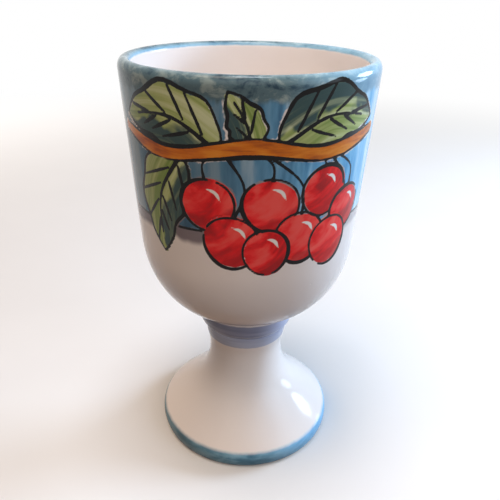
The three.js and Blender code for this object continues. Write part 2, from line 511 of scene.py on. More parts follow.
def leaf(base, bend, tip, half_width, heavy, veins):
    """One pointed leaf on a bent midrib: its fill, its ink and every point's place in it."""
    midrib = through([base, bend, tip], LEAF_STEPS)
    share = np.linspace(0.0, 1.0, len(midrib))
    aside = along_and_aside(midrib)[1]
    waves = WAVE_DEPTH * half_width * np.sin(share * WAVE_PITCH + heavy) * 4 * share * (1 - share)
    spread = half_width * np.sin(math.pi * share ** LEAF_POINT) ** LEAF_FULLNESS + waves

    slipped = canvas - FILL_SLIP * aside[LEAF_STEPS]
    offsets = slipped[:, None, :] - midrib[None, :, :]
    nearest = np.argmin(np.sum(offsets ** 2, axis=2), axis=1)
    from_rib = slipped - midrib[nearest]
    across = np.sum(from_rib * aside[nearest], axis=1)
    edge = np.linalg.norm(from_rib, axis=1) - np.maximum(spread[nearest], 0.0)
    place = np.column_stack([share[nearest], across / half_width, np.full(len(canvas), base[0])])

    left = midrib + spread[:, None] * aside
    right = midrib - spread[:, None] * aside
    ink = np.minimum.reduce([
        stroke(left[::2], [THINNEST, heavy, 0.8 * heavy, THINNEST]),
        stroke(right[::2], [THINNEST, 0.6 * heavy, heavy, THINNEST]),
        stroke(midrib[2:-8:2], [heavy, 0.85 * heavy, 0.6 * heavy, THINNEST]),
        np.maximum(leaf_veins(midrib, spread, half_width, heavy, veins), edge),
    ])
    return {"kind": "leaf", "edge": edge, "ink": ink, "place": place}


# %% Draw a cherry, the twig and a stalk
CHERRY_POINTS = 49
CHERRY_OPENS, CHERRY_CLOSES = 0.1, 0.25
CHERRY_OVAL = 0.025
CHERRY_LOBES = 0.012
CHERRY_INK = [THINNEST, 1.5, 1.0, THINNEST, 0.8, THINNEST]
TWIG_UPPER_INK = [0.6, 1.4, 0.7, 1.3, 0.5]
TWIG_LOWER_INK = [0.9, 0.6, 1.5, 0.7, 0.9]
STALK_INK = [1.3, 0.8, 0.7, 1.2]
TWIG_STEPS = 12
TWIG_PLACE_UNIT = 10.0


def cherry(across, height, radius, lean):
    """One round fruit, a little out of true, with an outline that swells, thins and leaves a gap."""
    def reach(bearing):
        return radius * (1 + CHERRY_OVAL * np.sin(2 * bearing + lean) + CHERRY_LOBES * np.sin(3 * bearing))

    angles = np.linspace(CHERRY_OPENS, 2 * math.pi - CHERRY_CLOSES, CHERRY_POINTS) + lean
    spokes = np.column_stack([np.cos(angles), np.sin(angles)])
    outline = [across, height] + reach(angles)[:, None] * spokes
    slip = FILL_SLIP * np.array([math.cos(5 * lean), math.sin(5 * lean)])
    offset = canvas - [across, height] - slip
    edge = np.linalg.norm(offset, axis=1) - reach(np.arctan2(offset[:, 1], offset[:, 0]))
    place = np.column_stack([offset / radius, np.full(len(canvas), across)])
    return {"kind": "fruit", "edge": edge, "ink": stroke(outline, CHERRY_INK), "place": place}


def twig(points, widths):
    """The woody twig: an ochre band that swells and thins, with a dark line along both sides."""
    line = through(points, TWIG_STEPS)
    to_the_left = half_widths(line, widths)[:, None] * along_and_aside(line)[1]
    upper_ink = stroke(line + to_the_left, TWIG_UPPER_INK)
    lower_ink = stroke(line - to_the_left, TWIG_LOWER_INK)
    ink = np.minimum(upper_ink, lower_ink)
    place = np.column_stack([canvas / TWIG_PLACE_UNIT, np.zeros(len(canvas))])
    return {"kind": "twig", "edge": stroke(line, widths), "ink": ink, "place": place}


def stalk(points):
    """A thin stalk, drawn with one stroke of ink and no fill."""
    ink = stroke(through(points), STALK_INK)
    no_fill = np.full(len(canvas), FAR)
    return {"kind": "twig", "edge": no_fill, "ink": ink, "place": np.zeros((len(canvas), 3))}


# %% [markdown]
# ## The layout
# Every shape is given by a few points in the flat sketch. Shapes are listed from the lowest to the topmost,
# and each one hides what lies under it, as paint does.

# %% Lay out the garland
ALL_VEINS = ((0.1, 0.78), (0.28, 0.86), (0.46, 0.84), (0.62, 0.7))
FEW_VEINS = ((0.2, 0.6), (0.48, 0.55))
LEAVES = [
    ((-20.0, 127.5), (-29.5, 112.5), (-30.0, 93.5), 9.8, 1.4, ALL_VEINS),
    ((-8.0, 129.5), (-23.0, 138.0), (-43.0, 136.0), 9.6, 1.5, ALL_VEINS),
    ((8.5, 131.0), (24.0, 138.8), (44.0, 136.0), 9.4, 1.4, ALL_VEINS),
    ((1.0, 131.0), (-0.8, 138.0), (-5.5, 146.0), 5.2, 1.2, FEW_VEINS),
]
STALKS = [
    [(-8.0, 129.0), (-13.0, 126.0), (-12.8, 120.5)],
    [(-6.5, 129.0), (-1.0, 119.0), (-4.5, 108.0)],
    [(2.0, 130.5), (7.0, 126.0), (7.2, 120.0)],
    [(3.5, 130.5), (16.0, 120.0), (17.0, 109.0)],
    [(23.0, 128.5), (23.2, 126.5), (24.5, 123.5)],
    [(26.5, 128.5), (35.0, 122.5), (36.0, 115.5)],
    [(25.0, 128.5), (33.5, 116.0), (29.5, 105.5)],
]
TWIG = [(-45.0, 131.5), (-25.0, 127.5), (1.0, 131.0), (23.0, 128.5), (46.0, 132.0)]
TWIG_WIDTHS = [3.0, 4.6, 4.0, 5.2, 4.2, 4.8, 3.0]
CHERRIES = [
    (24.5, 116.5, 8.0), (35.5, 108.5, 7.6), (-12.5, 113.0, 8.4), (7.0, 113.5, 8.6), (-5.0, 101.0, 8.8),
    (17.0, 102.0, 8.6), (29.0, 98.5, 8.4), (6.0, 98.0, 7.6),
]
LEAN_STEP = 0.7

shapes = [leaf(*marks) for marks in LEAVES]
shapes += [stalk(points) for points in STALKS]
shapes.append(twig(TWIG, TWIG_WIDTHS))
shapes += [cherry(*marks, lean=LEAN_STEP * number) for number, marks in enumerate(CHERRIES)]
print(f"{len(shapes)} shapes in the garland")

# %% [markdown]
# ## Laying the shapes over each other
# The list is worked from the top down. What is already covered is cut out of each lower shape and its ink.
# A last set of strokes is the white lights on the fruit. The results become named attributes on the mesh,
# which the shader can read wherever the bowl stands.

# %% Lay the shapes
LAP = 0.25
PLACE_REACH = 1.0
SHINE_BENDS = ((0.02, 0.62), (0.34, 0.5), (0.52, 0.2))
SHINE_WIDTHS = [0.25, 1.0, 1.1, 0.2]
SHINE_STEPS = 8

edges = {name: np.full(len(canvas), FAR) for name in ("ink", "leaf", "twig", "fruit", "shine", "shape")}
paint_places = {name: np.zeros((len(canvas), 3)) for name in ("leaf", "twig", "fruit")}
for shape in reversed(shapes):
    kind = shape["kind"]
    edges["ink"] = np.minimum(edges["ink"], np.maximum(shape["ink"], -edges["shape"] - LAP))
    showing = np.maximum(shape["edge"], -edges["shape"])
    takes_place = (showing < PLACE_REACH) & (showing < edges[kind])
    paint_places[kind][takes_place] = shape["place"][takes_place]
    edges[kind] = np.minimum(edges[kind], showing)
    edges["shape"] = np.minimum(edges["shape"], shape["edge"])

for across, height, radius in CHERRIES:
    line = through([(across + radius * x, height + radius * y) for x, y in SHINE_BENDS], SHINE_STEPS)
    edges["shine"] = np.minimum(edges["shine"], stroke(line, SHINE_WIDTHS))
print(f"paint covers {np.mean(edges['shape'] < 0):.0%} of the canvas")


# %% Note the marks on the bowl
def note(name, kind, values, blank):
    """Stores a value for each vertex of the bowl, with a blank value off the canvas."""
    whole = np.full((count,) + values.shape[1:], blank, dtype=np.float32)
    whole[is_canvas] = values
    field = "value" if kind == "FLOAT" else "vector"
    bowl.data.attributes.new(name, kind, "POINT").data.foreach_set(field, whole.ravel())


for name, values in edges.items():
    note(name + "_edge", "FLOAT", values, FAR)
for name, values in paint_places.items():
    note(name + "_place", "FLOAT_VECTOR", values, 0.0)
lip_note = bowl.data.attributes.new("from_lip", "FLOAT", "POINT")
lip_note.data.foreach_set("value", from_lip.astype(np.float32))
print("noted:", ", ".join(name + "_edge" for name in edges), "and from_lip")

# %% [markdown]
# ## A map for the bake
# If the bowl's paint is baked to a picture, an even unwrap would give the plain inside as much room as
# the garland. The map below gives the painted front more than half of the picture, and strips to the plain
# back, the belly and the inside.

# %% Sort the bowl's faces
AT_POLE = 0.01
PAINT_CLEARANCE = 0.5

painted_floor = shoulder[1] - PAINT_CLEARANCE
loops = np.empty(len(bowl.data.loops), dtype=np.int64)
bowl.data.loops.foreach_get("vertex_index", loops)
face_sizes = np.empty(len(bowl.data.polygons), dtype=np.int64)
bowl.data.polygons.foreach_get("loop_total", face_sizes)
face_of_loop = np.repeat(np.arange(len(face_sizes)), face_sizes)


def face_mean(values):
    """The mean of a vertex value over each face, given back for each face corner."""
    return (np.bincount(face_of_loop, values[loops]) / face_sizes)[face_of_loop]


face_turn = np.degrees(np.arctan2(face_mean(places[:, 0]), -face_mean(places[:, 1])))
corner_turn = face_turn + (np.degrees(turns[loops]) - face_turn + 180.0) % 360.0 - 180.0
corner_turn = np.where(radii[loops] < AT_POLE, face_turn, corner_turn)
corner_depth = ((rim_top - heights) + (rim_radius - radii))[loops]
on_outside = face_mean(is_outside.astype(float)) > 0.5
on_wall = on_outside & (face_mean(heights) > painted_floor)
on_front = np.abs(face_turn) < FRONT_ARC / 2
print(f"{np.mean(on_wall & on_front):.0%} of the face corners lie on the painted front")

# %% Lay out the bowl's bake map
MAP_MARGIN = 0.004
HALF_FRONT = FRONT_ARC / 2
strips = [
    (on_wall & on_front, corner_turn, (-HALF_FRONT, HALF_FRONT), (0.43, 0.995)),
    (on_wall & ~on_front, corner_turn % 360.0, (HALF_FRONT, 360.0 - HALF_FRONT), (0.28, 0.41)),
    (~on_wall & on_outside, corner_turn, (-180.0, 180.0), (0.15, 0.26)),
    (~on_outside, corner_turn, (-180.0, 180.0), (0.01, 0.13)),
]

bake_map = np.zeros((len(loops), 2), dtype=np.float32)
for chosen, turned, (first, last), (low, high) in strips:
    deep = corner_depth[chosen]
    bake_map[chosen, 0] = MAP_MARGIN + (1.0 - 2 * MAP_MARGIN) * (turned[chosen] - first) / (last - first)
    bake_map[chosen, 1] = high - (high - low) * (deep - deep.min()) / (deep.max() - deep.min())
bowl.data.uv_layers.new(name="OFBake").data.foreach_set("uv", bake_map.ravel())
print("bake map from", bake_map.min(axis=0), "to", bake_map.max(axis=0))

# %% [markdown]
# ## Colours and shader tools
# Colours are written as they look on a screen and turned into the linear values that shaders use. Nodes
# could be placed by hand in the editor. Small helpers that add a node and fill its sockets do the same in
# code, so that each finish below reads as a list of layers.

# %% Nodes and their arithmetic
def tint(red, green, blue):
    """A screen colour from 0 to 255 as the linear colour of a shader socket."""
    shares = [channel / 255 for channel in (red, green, blue)]
    return (*[s / 12.92 if s <= 0.04045 else ((s + 0.055) / 1.055) ** 2.4 for s in shares], 1.0)


def join(value, socket):
    """Links a value to a socket in the same tree."""
    socket.id_data.links.new(value, socket)


def add(kind, sockets=None, tree=None, **settings):
    """Adds a shader node with its settings, its sockets set or linked. A linked socket knows its tree."""
    sockets = sockets or {}
    links = [value for value in sockets.values() if isinstance(value, bpy.types.NodeSocket)]
    tree = links[0].id_data if links else tree
    made = tree.nodes.new("ShaderNode" + kind)
    for name, value in settings.items():
        setattr(made, name, value)
    for name, value in sockets.items():
        if isinstance(value, bpy.types.NodeSocket):
            join(value, made.inputs[name])
        else:
            made.inputs[name].default_value = value
    return made


def calculate(operation, first, second=0.0, third=0.0):
    """One step of the shader's arithmetic."""
    return add("Math", {0: first, 1: second, 2: third}, operation=operation).outputs[0]


def times(first, second):
    """A mask cut by another mask, or weakened to a share."""
    return calculate("MULTIPLY", first, second)


def minus(first, second):
    """How far the first value lies past the second."""
    return calculate("SUBTRACT", first, second)


def ramp(value, low, high, at_low=0.0, at_high=1.0):
    """A smooth step between two levels, which may be sockets."""
    sockets = {"Value": value, "From Min": low, "From Max": high, "To Min": at_low, "To Max": at_high}
    return add("MapRange", sockets, interpolation_type="SMOOTHSTEP").outputs[0]


def ease(value, start, end):
    """Rises smoothly from 0 at start to 1 at end, or falls where end is the smaller."""
    if start < end:
        return ramp(value, start, end)
    return ramp(value, end, start, 1.0, 0.0)


# %% Coordinates, noise and layers
def place_of(tree):
    """The piece's own coordinate, in metres."""
    return add("TexCoord", tree=tree).outputs["Object"]


def axes_of(vector):
    """The three axes of a coordinate, by their letters."""
    return add("SeparateXYZ", {0: vector}).outputs


def stretch(vector, amounts):
    """A coordinate stretched along its axes, so that noise on it turns into streaks."""
    return add("VectorMath", {0: vector, 1: amounts}, operation="MULTIPLY").outputs[0]


def length_of(vector):
    """How far a coordinate lies from its origin."""
    return add("VectorMath", {0: vector}, operation="LENGTH").outputs["Value"]


def noted(tree, name, socket="Fac"):
    """A value that the mesh carries for each of its points."""
    return add("Attribute", tree=tree, attribute_name=name).outputs[socket]


def cloud(vector, size, detail=2.0, roughness=0.5):
    """Noise whose blotches are about as wide as the given size in metres."""
    sockets = {"Vector": vector, "Scale": 1.0 / size, "Detail": detail, "Roughness": roughness}
    return add("TexNoise", sockets).outputs[0]


def over(under, colour, mask):
    """Lays a colour over another one where the mask says."""
    return add("Mix", {0: mask, 6: under, 7: colour}, data_type="RGBA").outputs[2]


# %% Groups and materials
def new_group(name, inputs, outputs):
    """An empty node group with named sockets and their kinds."""
    tree = bpy.data.node_groups.new(name, "ShaderNodeTree")
    for direction, sockets in (("INPUT", inputs), ("OUTPUT", outputs)):
        for socket, kind in sockets.items():
            tree.interface.new_socket(socket, in_out=direction, socket_type="NodeSocket" + kind)
    entry = tree.nodes.new("NodeGroupInput")
    leave = tree.nodes.new("NodeGroupOutput")
    return tree, entry.outputs, leave.inputs


def place_group(group, sockets):
    """Puts a node group into a material with its own values."""
    return add("Group", sockets, node_tree=group).outputs


def new_finish(name, *pieces):
    """An empty material with a Principled shader, given to the pieces."""
    material = bpy.data.materials.new(name)
    material.use_nodes = True
    tree = material.node_tree
    tree.nodes.clear()
    shader = add("BsdfPrincipled", tree=tree)
    output = add("OutputMaterial", {"Surface": shader.outputs[0]})
    output.is_active_output = True
    for piece in pieces:
        piece.data.materials.clear()
        piece.data.materials.append(material)
    return tree, shader


# %% [markdown]
# ## Glaze skin
# Fired glaze is a skin of glass. It pools and thins, so its gloss and its level change slowly over the
# surface, with a few pinholes. One even roughness would look like plastic. One group gives a height for the
# bump, a roughness and a slight shift of tone, and every glazed material uses it.

# %% Group: glaze skin
POOL_SIZE = 0.016
RIPPLE_SIZE = 0.0022
RIPPLE_SHARE = 0.12
PINHOLE_SPACING = 0.0075
PINHOLE_DEPTH = 0.3
DULLING = 0.07
TONE_SIZE = 0.028

glaze_skin, given, result = new_group(
    "Glaze skin",
    {"Vector": "Vector", "Gloss": "Float"},
    {"Height": "Float", "Roughness": "Float", "Tone": "Float"})
pools = cloud(given["Vector"], POOL_SIZE, 1.5)
ripples = cloud(given["Vector"], RIPPLE_SIZE, 1.0)
pits = add("TexVoronoi", {"Vector": given["Vector"], "Scale": 1.0 / PINHOLE_SPACING})
level = calculate("MULTIPLY_ADD", ripples, RIPPLE_SHARE, pools)
sunk = times(ease(pits.outputs["Distance"], 0.06, 0.02), PINHOLE_DEPTH)
dull = times(ease(pools, 0.3, 0.75), DULLING)
join(minus(level, sunk), result["Height"])
join(calculate("ADD", given["Gloss"], dull), result["Roughness"])
join(cloud(given["Vector"], TONE_SIZE, 3.0), result["Tone"])
print("made", glaze_skin.name)

# %% Start and close a glaze
GLAZE_IOR = 1.46
GLAZE_SPECULAR = 0.2
BUMP_STRENGTH = 0.25
BUMP_DEPTH = 0.0006


def new_glaze(name, piece, gloss):
    """An empty finish for a glazed piece, with the piece's own coordinate and its glaze skin."""
    tree, shader = new_finish(name, piece)
    here = place_of(tree)
    return tree, shader, here, place_group(glaze_skin, {"Vector": here, "Gloss": gloss})


def glaze_over(shader, colour, height, roughness):
    """Wires a colour and the glaze skin's height and roughness into the shader."""
    bump = add("Bump", {"Height": height, "Strength": BUMP_STRENGTH, "Distance": BUMP_DEPTH})
    join(colour, shader.inputs["Base Color"])
    join(roughness, shader.inputs["Roughness"])
    join(bump.outputs[0], shader.inputs["Normal"])
    shader.inputs["IOR"].default_value = GLAZE_IOR
    shader.inputs["Specular IOR Level"].default_value = GLAZE_SPECULAR


# %% [markdown]
# ## Brushed wash
# A wash is thin colour, so each pass of the brush shows: broad strokes that overlap, and finer lines that
# the bristles leave. Plain noise would look like clouds, so the group takes a coordinate that is already
# squeezed along the stroke. It mixes three strengths of one colour. Blend says how softly they run into
# each other, and Bristle how much the fine lines show.

# %% Group: brushed wash
BRISTLES_PER_STROKE = 4.5
TURNING_POINTS = {"Even": 0.42, "Dense": 0.6}

brushed_wash, given, result = new_group(
    "Brushed wash",
    {"Vector": "Vector", "Stroke": "Float", "Blend": "Float", "Bristle": "Float", "Detail": "Float",
     "Raggedness": "Float", "Thin": "Color", "Even": "Color", "Dense": "Color"},
    {"Color": "Color", "Load": "Float"})
strokes_per_metre = calculate("DIVIDE", 1.0, given["Stroke"])
bristles_per_metre = times(strokes_per_metre, BRISTLES_PER_STROKE)
broad = add("TexNoise", {
    "Vector": given["Vector"], "Scale": strokes_per_metre, "Detail": given["Detail"],
    "Roughness": given["Raggedness"], "Distortion": 0.4}).outputs[0]
fine = add("TexNoise", {
    "Vector": given["Vector"], "Scale": bristles_per_metre, "Detail": 2.0}).outputs[0]
load = calculate("MULTIPLY_ADD", minus(fine, 0.5), given["Bristle"], broad)
washed = given["Thin"]
for strength, turning_point in TURNING_POINTS.items():
    starts = minus(turning_point, given["Blend"])
    ends = calculate("ADD", turning_point, given["Blend"])
    washed = over(washed, given[strength], ramp(load, starts, ends))
join(washed, result["Color"])
join(load, result["Load"])
print("made", brushed_wash.name)


# %% Place a brushed wash
def brushed(vector, strengths, stroke=0.006, blend=0.12, bristle=0.25, detail=2.0, raggedness=0.45):
    """A brushed wash of one colour, given in its thin, even and dense strengths."""
    sockets = {"Vector": vector, "Stroke": stroke, "Blend": blend, "Bristle": bristle, "Detail": detail}
    sockets["Raggedness"] = raggedness
    sockets.update(zip(("Thin", "Even", "Dense"), strengths))
    return place_group(brushed_wash, sockets)


# %% [markdown]
# ## Brush edge
# The edge of a brush mark is crisp but never ruled. A plain cut of the noted distance would look like a
# stencil. The group takes a signed distance in millimetres, shifts it by noise and cuts it, which gives a
# mask of 1 inside the mark.

# %% Group: brush edge
WANDER_SIZE = 0.0035

brush_edge, given, result = new_group(
    "Brush edge",
    {"Vector": "Vector", "Distance": "Float", "Wander": "Float", "Softness": "Float"},
    {"Mask": "Float"})
shift = minus(cloud(given["Vector"], WANDER_SIZE, 3.0, 0.6), 0.5)
wandered = calculate("MULTIPLY_ADD", shift, given["Wander"], given["Distance"])
inner = times(given["Softness"], -1.0)
join(ramp(wandered, inner, given["Softness"], 1.0, 0.0), result["Mask"])
print("made", brush_edge.name)


def brush_mask(vector, distance, wander=0.3, softness=0.1):
    """A mask of 1 inside a brush mark."""
    sockets = {"Vector": vector, "Distance": distance, "Wander": wander, "Softness": softness}
    return place_group(brush_edge, sockets)["Mask"]


# %% [markdown]
# ## The bowl's finish
# A painter works up from white glaze: a soft grey shade under the border, the blue wash in upright strokes,
# the mottled rim, the black border line, and then the garland's leaves, twig, fruit, white lights and ink.
# The material has the same layers in the same order, each laid over the last by its own mask, because that
# is how the edges come to overlap. Towards the left, wash and rim are darkened to slate as painted shade,
# and towards the right they turn sky blue as painted light.

# %% Paint the bowl: ground and shade
WHITE = tint(239, 232, 227)
WHITE_WARM = tint(233, 222, 218)
WARM_SHARE = 0.6
SHADE = tint(124, 112, 118)
SHADE_DEPTH = 4.0
SHADE_WANDER = 5.0
SHADE_SOFTNESS = 1.2
BORDER = 45.8
WHITE_GLOSS = 0.07
UPRIGHT_STROKES = (1.0, 1.0, 0.14)

tree, shader, here, skin = new_glaze("painted_bowl_glaze", bowl, WHITE_GLOSS)
upright = stretch(here, UPRIGHT_STROKES)
lip_gap = noted(tree, "from_lip")
across = axes_of(here)["X"]
# These two masks paint shade towards the left and light from the right into the wash and the rim.
painted_shade_left = ease(across, 0.03, -0.016)
painted_light_right = ease(across, 0.006, 0.034)

colour = over(WHITE, WHITE_WARM, times(skin["Tone"], WARM_SHARE))
below_border = minus(lip_gap, BORDER + SHADE_DEPTH + SHADE_WANDER / 2)
shade_gap = calculate("MULTIPLY_ADD", cloud(upright, 0.009), SHADE_WANDER, below_border)
shade_mask = times(ease(shade_gap, SHADE_SOFTNESS, -SHADE_SOFTNESS), ease(lip_gap, 20.0, 30.0))
# The grey stroke is made stronger towards the left, which is painted shade.
shade_mask = times(shade_mask, ease(across, 0.1, -0.03))
colour = over(colour, SHADE, shade_mask)
print("bowl ground:", len(tree.nodes), "nodes")

# %% Paint the bowl: blue wash
WASH = (tint(196, 228, 246), tint(112, 176, 216), tint(54, 110, 152))
WASH_LIT = (tint(206, 234, 250), tint(116, 192, 234), tint(52, 136, 198))
WASH_SHADED = tint(54, 80, 97)
WASH_LAP = 0.2
RESERVE_GAP = 0.5

above_border = brush_mask(upright, minus(lip_gap, BORDER - WASH_LAP), wander=1.6, softness=0.5)
below_lip = ease(lip_gap, -1.2, 0.4)
beside_shapes = minus(RESERVE_GAP, noted(tree, "shape_edge"))
reserve = brush_mask(here, beside_shapes, wander=2.2, softness=0.25)
# Slate towards the left is painted shade, and sky blue towards the right is painted light.
wash = over(brushed(upright, WASH)["Color"], WASH_SHADED, times(painted_shade_left, 0.7))
wash = over(wash, brushed(upright, WASH_LIT)["Color"], painted_light_right)
colour = over(colour, wash, times(times(above_border, below_lip), reserve))
print("with the wash:", len(tree.nodes), "nodes")

# %% [markdown]
# ## Rim and border
# The rim was dabbed on with a full sponge or brush, so it is mottled, and its lower edge is ragged. On the
# crest of the lip the colour is worn thin, and a little of it runs over to the inside. The border is one
# thin line that wavers as the hand goes round. It could be cut at one level, but a ruled line would look
# printed.

# %% Paint the bowl: mottled rim
RIM = (tint(166, 182, 176), tint(98, 124, 130), tint(38, 64, 80))
RIM_WORN = tint(172, 198, 206)
RIM_PAINTED_LIGHT = tint(146, 198, 230)
RIM_DEPTH = 6.6
RIM_INSIDE = -1.5
DABS = (1.0, 1.0, 1.6)

mottle = brushed(
    stretch(here, DABS), RIM, stroke=0.0065, blend=0.08, bristle=0.15, detail=5.0, raggedness=0.62)
on_crest = ease(lip_gap, 1.0, 0.0)
worn = times(ease(mottle["Load"], 0.7, 0.35), 0.6)
rim = over(mottle["Color"], RIM_WORN, times(on_crest, worn))
# Painted shade darkens the rim towards the left; painted light and reflection turn it sky blue on the right
# and inside.
rim = over(rim, RIM[2], times(painted_shade_left, 0.42))
rim_light_share = calculate("MAXIMUM", painted_light_right, ease(lip_gap, 0.0, -1.2))
rim = over(rim, RIM_PAINTED_LIGHT, times(rim_light_share, 0.6))
rim_below = brush_mask(upright, minus(lip_gap, RIM_DEPTH), wander=5.0, softness=1.0)
rim_within = brush_mask(here, minus(RIM_INSIDE, lip_gap), wander=0.5, softness=0.35)
colour = over(colour, rim, times(rim_below, rim_within))
print("with the rim:", len(tree.nodes), "nodes")

# %% Paint the bowl: border line
INK = tint(11, 9, 10)
LINE_WAVER = 1.3
LINE_HALF_WIDTH = 0.42

line_middle = minus(lip_gap, BORDER + LINE_WAVER / 2)
wavering = calculate("MULTIPLY_ADD", cloud(here, 0.018, 1.0), LINE_WAVER, line_middle)
line_gap = minus(calculate("ABSOLUTE", wavering), LINE_HALF_WIDTH)
line_mask = brush_mask(here, line_gap, wander=0.5, softness=0.12)
colour = over(colour, INK, times(line_mask, reserve))
print("with the border:", len(tree.nodes), "nodes")

# %% [markdown]
# ## Leaves, twig and fruit
# Each leaf has green strokes along its midrib and a dark side. The twig is ochre with streaks along it, and
# each fruit has strokes that swing round from its lit shoulder. Noise on the plain coordinate would run on
# from one shape to the next, so the strokes use the place that every point has in its own shape.

# %% Paint the bowl: leaves and twig
LEAF = (tint(210, 217, 172), tint(176, 188, 118), tint(124, 148, 70))
LEAF_SHADE = tint(58, 84, 84)
TWIG_WOOD = (tint(230, 142, 34), tint(214, 114, 8), tint(174, 84, 4))
GRAIN = (0.004, 0.02, 0.01)

leaf_place = noted(tree, "leaf_place", "Vector")
leaf_wash = brushed(stretch(leaf_place, GRAIN), LEAF)
dark_side = calculate("MULTIPLY_ADD", cloud(here, 0.009), 1.4, axes_of(leaf_place)["Y"])
leaf_dark = times(ease(dark_side, 0.72, 0.9), ease(leaf_wash["Load"], 0.1, 0.55))
leaf_colour = over(leaf_wash["Color"], LEAF_SHADE, leaf_dark)
colour = over(colour, leaf_colour, brush_mask(here, noted(tree, "leaf_edge"), wander=1.2))

twig_grain = stretch(noted(tree, "twig_place", "Vector"), GRAIN)
twig_colour = brushed(twig_grain, TWIG_WOOD, stroke=0.005)["Color"]
colour = over(colour, twig_colour, brush_mask(here, noted(tree, "twig_edge"), wander=0.4))
print("with leaves and twig:", len(tree.nodes), "nodes")

# %% Paint the bowl: fruit
FRUIT = (tint(252, 88, 80), tint(246, 12, 20), tint(174, 2, 10))
SWING_CENTRE = (-1.0, 1.2)
SWING_GRAIN = (0.011, 0.006, 0.013)
FALL_SLANT = 0.55

fruit_axes = axes_of(noted(tree, "fruit_place", "Vector"))
swing_x = minus(fruit_axes["X"], SWING_CENTRE[0])
swing_y = minus(fruit_axes["Y"], SWING_CENTRE[1])
swing_square = calculate("MULTIPLY_ADD", swing_x, swing_x, times(swing_y, swing_y))
swing = add("CombineXYZ", {
    "X": calculate("SQRT", swing_square),
    "Y": calculate("ARCTAN2", swing_y, swing_x),
    "Z": fruit_axes["Z"]}).outputs[0]
fruit = brushed(stretch(swing, SWING_GRAIN), FRUIT, stroke=0.0075, blend=0.14, bristle=0.24)["Color"]
fall = minus(times(fruit_axes["X"], FALL_SLANT), fruit_axes["Y"])
underside = calculate("MULTIPLY_ADD", cloud(here, 0.006), 0.9, fall)
fruit = over(fruit, FRUIT[2], times(ease(underside, 0.92, 1.14), 0.6))
colour = over(colour, fruit, brush_mask(here, noted(tree, "fruit_edge"), wander=1.2))
print("with the fruit:", len(tree.nodes), "nodes")

# %% Paint the bowl: lights, ink and glaze
LIGHT = tint(244, 240, 234)

light_mask = brush_mask(here, noted(tree, "shine_edge"), wander=0.35, softness=0.12)
colour = over(colour, LIGHT, light_mask)
colour = over(colour, INK, brush_mask(here, noted(tree, "ink_edge"), wander=0.45))
glaze_over(shader, colour, skin["Height"], skin["Roughness"])
print("bowl finish:", len(tree.nodes), "nodes")

# %% [markdown]
# ## The finishes of the collar ring and the pedestal
# The collar is brushed lavender, and the colour runs on down to the top of the stem, paler below the
# collar's break and on the stem as a painted reflection. It thins to white on the collar's rounded upper
# edge, because glaze draws back from edges. The foot carries a brushed blue band, and the ring that it
# stands on is bare clay. The lavender and the band turn lighter towards the right as painted light, and the
# band darker towards the left as painted shade. These bands were painted on the turning wheel, so the
# coordinate is squeezed round the piece, and the strokes run in rings.

# %% Paint the collar ring
LAVENDER = (tint(158, 166, 194), tint(136, 143, 172), tint(114, 120, 149))
LAVENDER_REFLECTED = tint(184, 191, 212)
LAVENDER_LIT = tint(200, 214, 250)
COLLAR_GLOSS = 0.08
RING_STROKE = 0.004
RING_PULL = 0.0016
BARE_EDGE = 0.9


def round_the_axis(here):
    """A coordinate that hardly changes round the piece, so that noise on it runs in rings."""
    flat = stretch(here, (1.0, 1.0, 0.0))
    ring = add("VectorMath", {0: flat}, operation="NORMALIZE").outputs[0]
    pulled = stretch(ring, (RING_PULL, RING_PULL, 0.0))
    upright = stretch(here, (0.0, 0.0, 1.0))
    return add("VectorMath", {0: pulled, 1: upright}, operation="ADD").outputs[0]


tree, shader, here, skin = new_glaze("lavender_collar_glaze", collar, COLLAR_GLOSS)
axes = axes_of(here)
colour = brushed(round_the_axis(here), LAVENDER, stroke=RING_STROKE, blend=0.42)["Color"]
# Paler lavender below the break is a painted reflection.
tucked = ease(axes["Z"], (break_height + 0.5) * MM, (break_height - 0.3) * MM)
colour = over(colour, LAVENDER_REFLECTED, times(tucked, 0.6))
# Lighter blue towards the right is painted light.
colour = over(colour, LAVENDER_LIT, times(ease(axes["X"], 0.002, 0.018), 0.9))
edge_gap = times(minus((collar_top - BARE_EDGE) * MM, axes["Z"]), 1.0 / MM)
bare_edge = brush_mask(here, edge_gap, wander=0.5, softness=0.35)
colour = over(colour, WHITE, times(bare_edge, 0.85))
glaze_over(shader, colour, skin["Height"], skin["Roughness"])
print("collar finish:", len(tree.nodes), "nodes")

# %% Paint the pedestal: bands
BAND = (tint(152, 198, 219), tint(106, 160, 188), tint(70, 116, 142))
BAND_LIT = tint(128, 190, 236)
BAND_SHADED = tint(84, 106, 114)
BAND_STROKES = (0.5, 0.5, 1.4)
FOOT_BAND = 6.7
STEM_BAND = 43.4
# The stem's lavender takes the paler painted reflection for its thin and even strengths.
STEM_LAVENDER = (LAVENDER_REFLECTED, LAVENDER_REFLECTED, LAVENDER[1])

tree, shader, here, skin = new_glaze("banded_pedestal_glaze", pedestal, WHITE_GLOSS)
axes = axes_of(here)
height = times(axes["Z"], 1.0 / MM)
reach = length_of(stretch(here, (1.0 / MM, 1.0 / MM, 0.0)))
colour = over(WHITE, WHITE_WARM, times(cloud(here, 0.03, 3.0), WARM_SHARE))

band = brushed(stretch(here, BAND_STROKES), BAND, blend=0.2)["Color"]
# Sky blue towards the right is painted light, and slate towards the left is painted shade.
band = over(band, BAND_LIT, times(ease(axes["X"], 0.004, 0.032), 0.75))
band = over(band, BAND_SHADED, times(ease(axes["X"], 0.006, -0.03), 0.6))
on_foot = brush_mask(here, minus(height, FOOT_BAND), wander=0.5, softness=0.7)
colour = over(colour, band, times(on_foot, ease(reach, 33.0, 33.4)))

